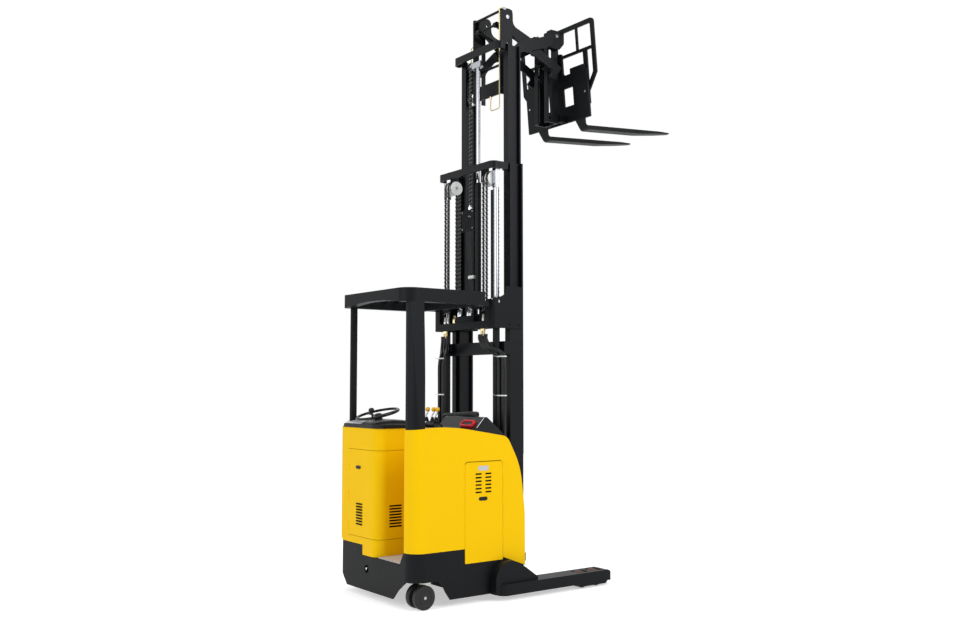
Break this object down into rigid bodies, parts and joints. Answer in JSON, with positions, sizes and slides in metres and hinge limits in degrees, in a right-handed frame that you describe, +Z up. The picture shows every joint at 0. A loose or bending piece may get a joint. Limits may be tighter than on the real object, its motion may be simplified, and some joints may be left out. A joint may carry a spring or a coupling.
{
  "type": "stand-up reach truck",
  "caption": "Stand-up reach truck with a three-stage mast raised, a part-extended pantograph carrying forks, straddle legs and an overhead guard.",
  "frame": {"origin": "on the floor under the middle of the truck's overall box", "axes": "+X forward along the forks, +Y to the truck's left, +Z up"},
  "size_m": [3.0045, 1.25, 4.7493],
  "materials": {
    "body_paint": "satin yellow paint",
    "frame_paint": "satin charcoal paint",
    "mast_paint": "satin charcoal paint",
    "battery_case": "battery box with its real density",
    "black_plastic": "textured moulding",
    "mat_rubber": "ribbed mat",
    "pad_vinyl": "soft moulded pad",
    "red_plastic": "red handle",
    "wheel_tread": "polyurethane tread",
    "caster_tread": "rubber tread",
    "bright_rod": "ground and plated",
    "zinc_steel": "zinc plated",
    "white_nylon": "pulley",
    "knob_plastic": "moulded knob"
  },
  "bodies": {
    "chassis": {"chassis_frame": "frame_paint", "floor_mat": "mat_rubber", "battery_walls": "body_paint", "battery": "battery_case", "side_panel_left": "body_paint", "side_panel_right": "body_paint", "rear_cover": "body_paint", "console_top": "black_plastic", "control_levers": "black_plastic", "armrest": "pad_vinyl", "mast_cowl": "black_plastic", "emergency_switch": "red_plastic", "overhead_guard": "frame_paint", "guard_pillar": "frame_paint", "guard_post": "frame_paint", "outer_mast": "mast_paint", "mast_bracket": "frame_paint", "lift_cylinders": "mast_paint", "hose_fittings": "zinc_steel", "outrigger_left": "frame_paint", "outrigger_right": "frame_paint", "lever_knobs": "knob_plastic", "deck_plates": "frame_paint"},
    "drive unit": {"drive_unit": "mast_paint"},
    "drive wheel": {"drive_wheel": "wheel_tread"},
    "steering wheel": {"steering_wheel": "black_plastic"},
    "caster": {"caster_fork": "zinc_steel"},
    "caster wheels": {"caster_wheels": "caster_tread"},
    "left rear load wheel": {"load_wheel_left_rear": "wheel_tread"},
    "left front load wheel": {"load_wheel_left_front": "wheel_tread"},
    "right rear load wheel": {"load_wheel_right_rear": "wheel_tread"},
    "right front load wheel": {"load_wheel_right_front": "wheel_tread"},
    "left battery door": {"battery_door_left": "body_paint"},
    "right battery door": {"battery_door_right": "body_paint"},
    "rear door": {"rear_door": "body_paint"},
    "middle stage": {"middle_mast": "mast_paint", "lift_rods": "bright_rod", "hose_pulleys": "white_nylon"},
    "inner stage": {"inner_mast": "mast_paint", "free_lift_cylinder": "mast_paint"},
    "free lift rod": {"free_lift_rod": "bright_rod"},
    "reach frame": {"reach_frame": "mast_paint", "reach_tracks": "mast_paint", "reach_rollers": "zinc_steel"},
    "rear arms": {"rear_arms": "mast_paint"},
    "front arms": {"front_arms": "mast_paint"},
    "front frame": {"front_frame": "mast_paint"},
    "reach cylinders": {"reach_cylinders": "mast_paint"},
    "reach rods": {"reach_rods": "bright_rod"},
    "tilt rod": {"tilt_rod": "bright_rod"},
    "fork carriage": {"fork_carriage": "frame_paint", "load_backrest": "frame_paint", "fork_left": "frame_paint", "fork_right": "frame_paint"}
  },
  "joints": [
    {"name": "mast_raise", "type": "slide", "parent": "chassis", "child": "middle stage", "axis": [0, 0, 1], "range_m": [-1, 0.6]},
    {"name": "inner_raise", "type": "slide", "parent": "middle stage", "child": "inner stage", "axis": [0, 0, 1], "range_m": [-1, 0.6]},
    {"name": "carriage_raise", "type": "slide", "parent": "inner stage", "child": "reach frame", "axis": [0, 0, 1], "range_m": [-1.66, 0.05]},
    {"name": "free_lift", "type": "slide", "parent": "inner stage", "child": "free lift rod", "axis": [0, 0, 1], "range_m": [-0.83, 0.025]},
    {"name": "reach", "type": "hinge", "parent": "reach frame", "child": "rear arms", "pos_m": [-0.34598, 0, 4.659], "axis": [0, 1, 0], "range_deg": [-15, 47]},
    {"name": "front_arm_pivot", "type": "hinge", "parent": "rear arms", "child": "front arms", "pos_m": [-0.10998, 0, 4.468], "axis": [0, 1, 0], "range_deg": [-94, 30]},
    {"name": "front_frame_pivot", "type": "hinge", "parent": "front arms", "child": "front frame", "pos_m": [0.21002, 0, 4.618], "axis": [0, 1, 0], "range_deg": [-15, 47]},
    {"name": "reach_cylinder_pivot", "type": "hinge", "parent": "reach frame", "child": "reach cylinders", "pos_m": [-0.40798, 0, 4.601], "axis": [0, 1, 0], "range_deg": [-14.44, 45.23]},
    {"name": "reach_rod_slide", "type": "slide", "parent": "reach cylinders", "child": "reach rods", "axis": [0.9482, 0, -0.3177], "range_m": [-0.067, 0.02145]},
    {"name": "fork_tilt", "type": "hinge", "parent": "front frame", "child": "fork carriage", "pos_m": [0.32802, 0, 3.92], "axis": [0, 1, 0], "range_deg": [0, 8]},
    {"name": "drive_steer", "type": "hinge", "parent": "chassis", "child": "drive unit", "pos_m": [-1.24698, 0.262, 0.125], "axis": [0, 0, 1], "range_deg": [-90, 90]},
    {"name": "drive_wheel_spin", "type": "hinge", "parent": "drive unit", "child": "drive wheel", "pos_m": [-1.24698, 0.262, 0.125], "axis": [0, 1, 0], "continuous": true},
    {"name": "steering", "type": "hinge", "parent": "chassis", "child": "steering wheel", "pos_m": [-1.32798, 0.205, 1.378], "axis": [-0.2334, 0, 0.9724], "range_deg": [-360, 360]},
    {"name": "caster_swivel", "type": "hinge", "parent": "chassis", "child": "caster", "pos_m": [-1.31498, -0.45, 0.194], "axis": [0, 0, 1], "continuous": true},
    {"name": "caster_wheel_spin", "type": "hinge", "parent": "caster", "child": "caster wheels", "pos_m": [-1.35098, -0.45, 0.087], "axis": [0, 1, 0], "continuous": true},
    {"name": "left_rear_load_wheel_spin", "type": "hinge", "parent": "chassis", "child": "left rear load wheel", "pos_m": [0.09802, 0.5425, 0.0635], "axis": [0, 1, 0], "continuous": true},
    {"name": "left_front_load_wheel_spin", "type": "hinge", "parent": "chassis", "child": "left front load wheel", "pos_m": [0.24602, 0.5425, 0.0635], "axis": [0, 1, 0], "continuous": true},
    {"name": "right_rear_load_wheel_spin", "type": "hinge", "parent": "chassis", "child": "right rear load wheel", "pos_m": [0.09802, -0.5425, 0.0635], "axis": [0, 1, 0], "continuous": true},
    {"name": "right_front_load_wheel_spin", "type": "hinge", "parent": "chassis", "child": "right front load wheel", "pos_m": [0.24602, -0.5425, 0.0635], "axis": [0, 1, 0], "continuous": true},
    {"name": "left_battery_door_hinge", "type": "hinge", "parent": "chassis", "child": "left battery door", "pos_m": [-0.66098, 0.5275, 0.6], "axis": [0, 0, -1], "range_deg": [0, 110]},
    {"name": "right_battery_door_hinge", "type": "hinge", "parent": "chassis", "child": "right battery door", "pos_m": [-0.66098, -0.5275, 0.6], "axis": [0, 0, 1], "range_deg": [0, 110]},
    {"name": "rear_door_hinge", "type": "hinge", "parent": "chassis", "child": "rear door", "pos_m": [-1.46198, 0.417, 0.77], "axis": [0, 0, -1], "range_deg": [0, 100]},
    {"name": "tilt_rod_slide", "type": "slide", "parent": "front frame", "child": "tilt rod", "axis": [1, 0, 0], "range_m": [-0.0001, 0.0703]}
  ],
  "couplings": [
    {"joint": "inner_raise", "follows": "mast_raise", "ratio": 1},
    {"joint": "free_lift", "follows": "carriage_raise", "ratio": 0.5},
    {"joint": "front_arm_pivot", "follows": "reach", "ratio": -2},
    {"joint": "front_frame_pivot", "follows": "reach", "ratio": 1},
    {"joint": "reach_cylinder_pivot", "follows": "reach", "ratio": 0.9622},
    {"joint": "reach_rod_slide", "follows": "reach", "m_per_rad": -0.08156},
    {"joint": "steering", "follows": "drive_steer", "ratio": 4},
    {"joint": "tilt_rod_slide", "follows": "fork_tilt", "m_per_rad": 0.5}
  ]
}
